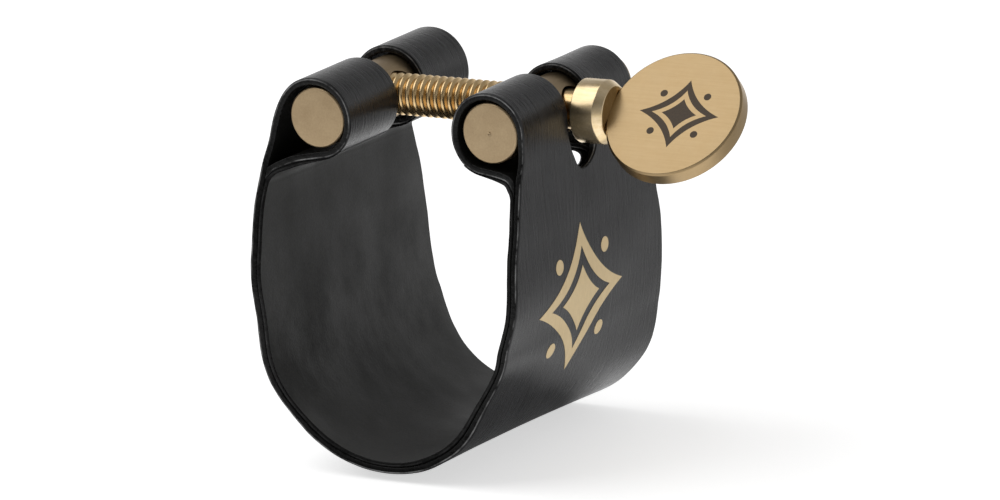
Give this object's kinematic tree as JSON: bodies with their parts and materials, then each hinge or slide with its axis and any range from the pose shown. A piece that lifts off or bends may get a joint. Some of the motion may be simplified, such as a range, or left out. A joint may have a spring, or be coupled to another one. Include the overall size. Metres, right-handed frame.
{
  "type": "saxophone ligature",
  "caption": "Leather strap ligature with a brass barrel in a loop at each end and a cross screw with a round thumb disc that draws the loops together.",
  "frame": {"origin": "centre of the round seat that the mouthpiece lies in, at the middle of the strap's width", "axes": "+X along the screw from the threaded barrel to the thumb disc, +Y along the mouthpiece, +Z from the seat up to the screw"},
  "size_m": [0.0465, 0.031, 0.039],
  "materials": {
    "strap": "satin black synthetic leather with fine lengthwise grain",
    "lining": "matte dark grey lining",
    "barrel": "satin turned brass",
    "screw": "polished gold-coloured lacquered brass",
    "disc": "brushed gold-coloured brass"
  },
  "bodies": {
    "cradle": {"strap_cradle": "strap", "lining_cradle": "lining"},
    "left_arm": {"strap_left": "strap", "lining_left": "lining"},
    "right_arm": {"strap_right": "strap", "lining_right": "lining"},
    "left_pin": {"threaded_barrel": "barrel"},
    "right_pin": {"plain_barrel": "barrel"},
    "thumbscrew": {"screw_shank": "screw", "screw_collar": "screw", "thumb_disc": "disc"}
  },
  "joints": [
    {"name": "left_arm_flex", "type": "hinge", "parent": "cradle", "child": "left_arm", "pos_m": [-0.01035, 0, -0.00868], "axis": [0, 1, 0], "range_deg": [-0.86, 5.95]},
    {"name": "right_arm_flex", "type": "hinge", "parent": "cradle", "child": "right_arm", "pos_m": [0.01279, 0, -0.00434], "axis": [0, -1, 0], "range_deg": [-0.93, 6.43]},
    {"name": "left_pin_turn", "type": "hinge", "parent": "left_arm", "child": "left_pin", "pos_m": [-0.0083, 0, 0.0195], "axis": [0, -1, 0], "range_deg": [-0.86, 5.95]},
    {"name": "right_pin_turn", "type": "hinge", "parent": "right_arm", "child": "right_pin", "pos_m": [0.0109, 0, 0.0195], "axis": [0, 1, 0], "range_deg": [-0.93, 6.43]},
    {"name": "screw_turn", "type": "hinge", "parent": "right_pin", "child": "thumbscrew", "pos_m": [0, 0, 0.0195], "axis": [-1, 0, 0], "range_deg": [-360, 2520]}
  ],
  "couplings": [
    {"joint": "left_arm_flex", "follows": "screw_turn", "ratio": 0.0023405},
    {"joint": "right_arm_flex", "follows": "screw_turn", "ratio": 0.0025334},
    {"joint": "left_pin_turn", "follows": "screw_turn", "ratio": 0.0023405},
    {"joint": "right_pin_turn", "follows": "screw_turn", "ratio": 0.0025334}
  ]
}
